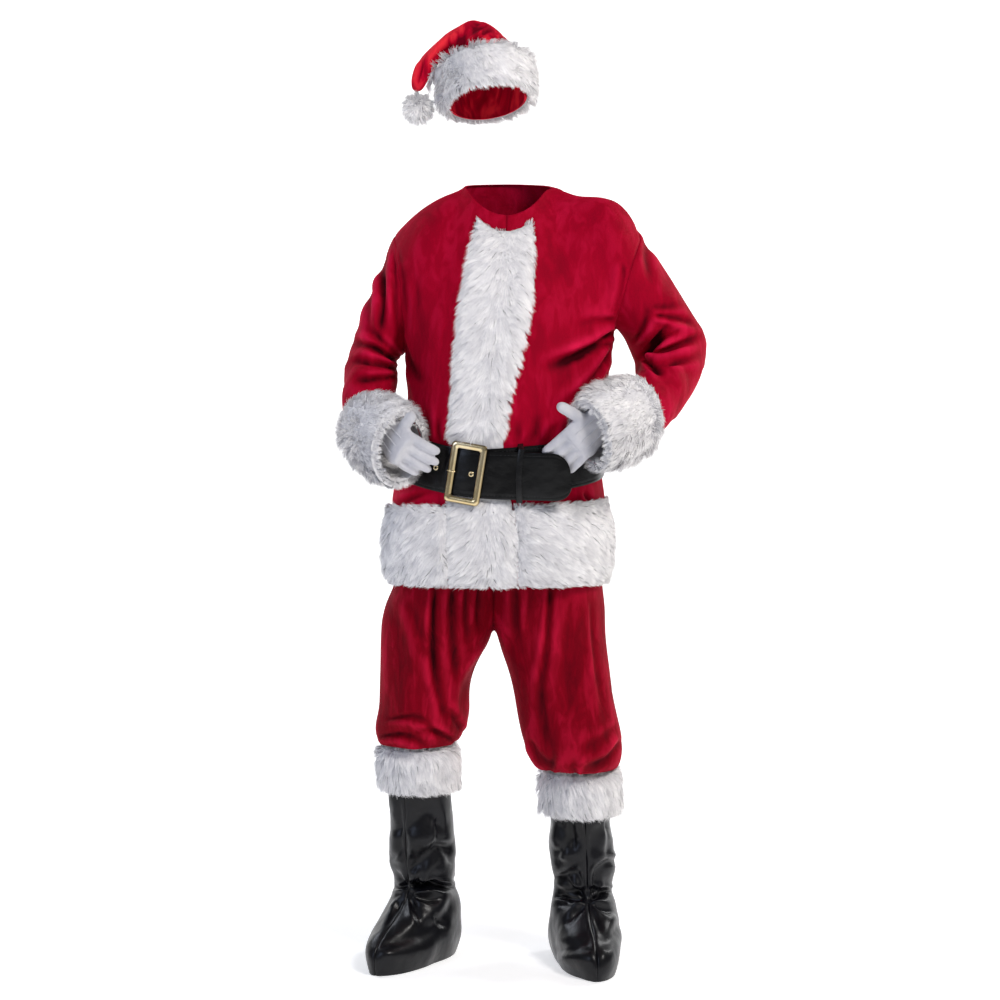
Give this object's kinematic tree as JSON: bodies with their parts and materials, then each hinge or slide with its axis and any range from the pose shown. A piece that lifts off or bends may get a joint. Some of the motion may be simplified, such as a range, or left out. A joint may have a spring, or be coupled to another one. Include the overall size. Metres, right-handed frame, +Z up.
{
  "type": "santa suit",
  "caption": "Worn Santa suit without its wearer: hat with pompom, fur-trimmed jacket, buckled belt, gloves, trousers and boot covers.",
  "frame": {"origin": "the point between the wearer's shoulders that holds the suit up, 1.47 m above the floor the wearer stands on", "axes": "+Z up, -Y the way the wearer faces, +X towards the wearer's left"},
  "size_m": [0.7137, 0.4147, 1.8481],
  "materials": {
    "red_velvet": "crimson polyester velvet with a short pile",
    "white_fur": "white faux fur, pile about 18 mm",
    "black_vinyl": "glossy black imitation leather",
    "gold_plate": "polished pale gold plating",
    "white_cotton": "plain white cotton knit"
  },
  "bodies": {
    "root": {"belt_eyelet_1": "gold_plate", "belt_eyelet_2": "gold_plate", "belt_keeper": "black_vinyl", "belt_strap": "black_vinyl", "boot_inner_left": "black_vinyl", "boot_inner_right": "black_vinyl", "boot_outer_left": "black_vinyl", "boot_outer_right": "black_vinyl", "buckle_frame": "gold_plate", "buckle_prong": "gold_plate", "cuff_left": "white_fur", "cuff_right": "white_fur", "fur_boot_left": "white_fur", "fur_boot_right": "white_fur", "fur_front_band": "white_fur", "fur_hat_brim": "white_fur", "fur_hem_back": "white_fur", "fur_hem_front_left": "white_fur", "fur_hem_front_right": "white_fur", "fur_pompom": "white_fur", "glove_left": "white_cotton", "glove_right": "white_cotton", "hat_crown_back": "red_velvet", "hat_crown_front": "red_velvet", "jacket_back": "red_velvet", "jacket_front_left": "red_velvet", "jacket_front_right": "red_velvet", "sleeve_left": "red_velvet", "sleeve_right": "red_velvet", "trouser_back_left": "red_velvet", "trouser_back_right": "red_velvet", "trouser_front_left": "red_velvet", "trouser_front_right": "red_velvet", "trouser_waistband": "red_velvet"}
  },
  "joints": []
}
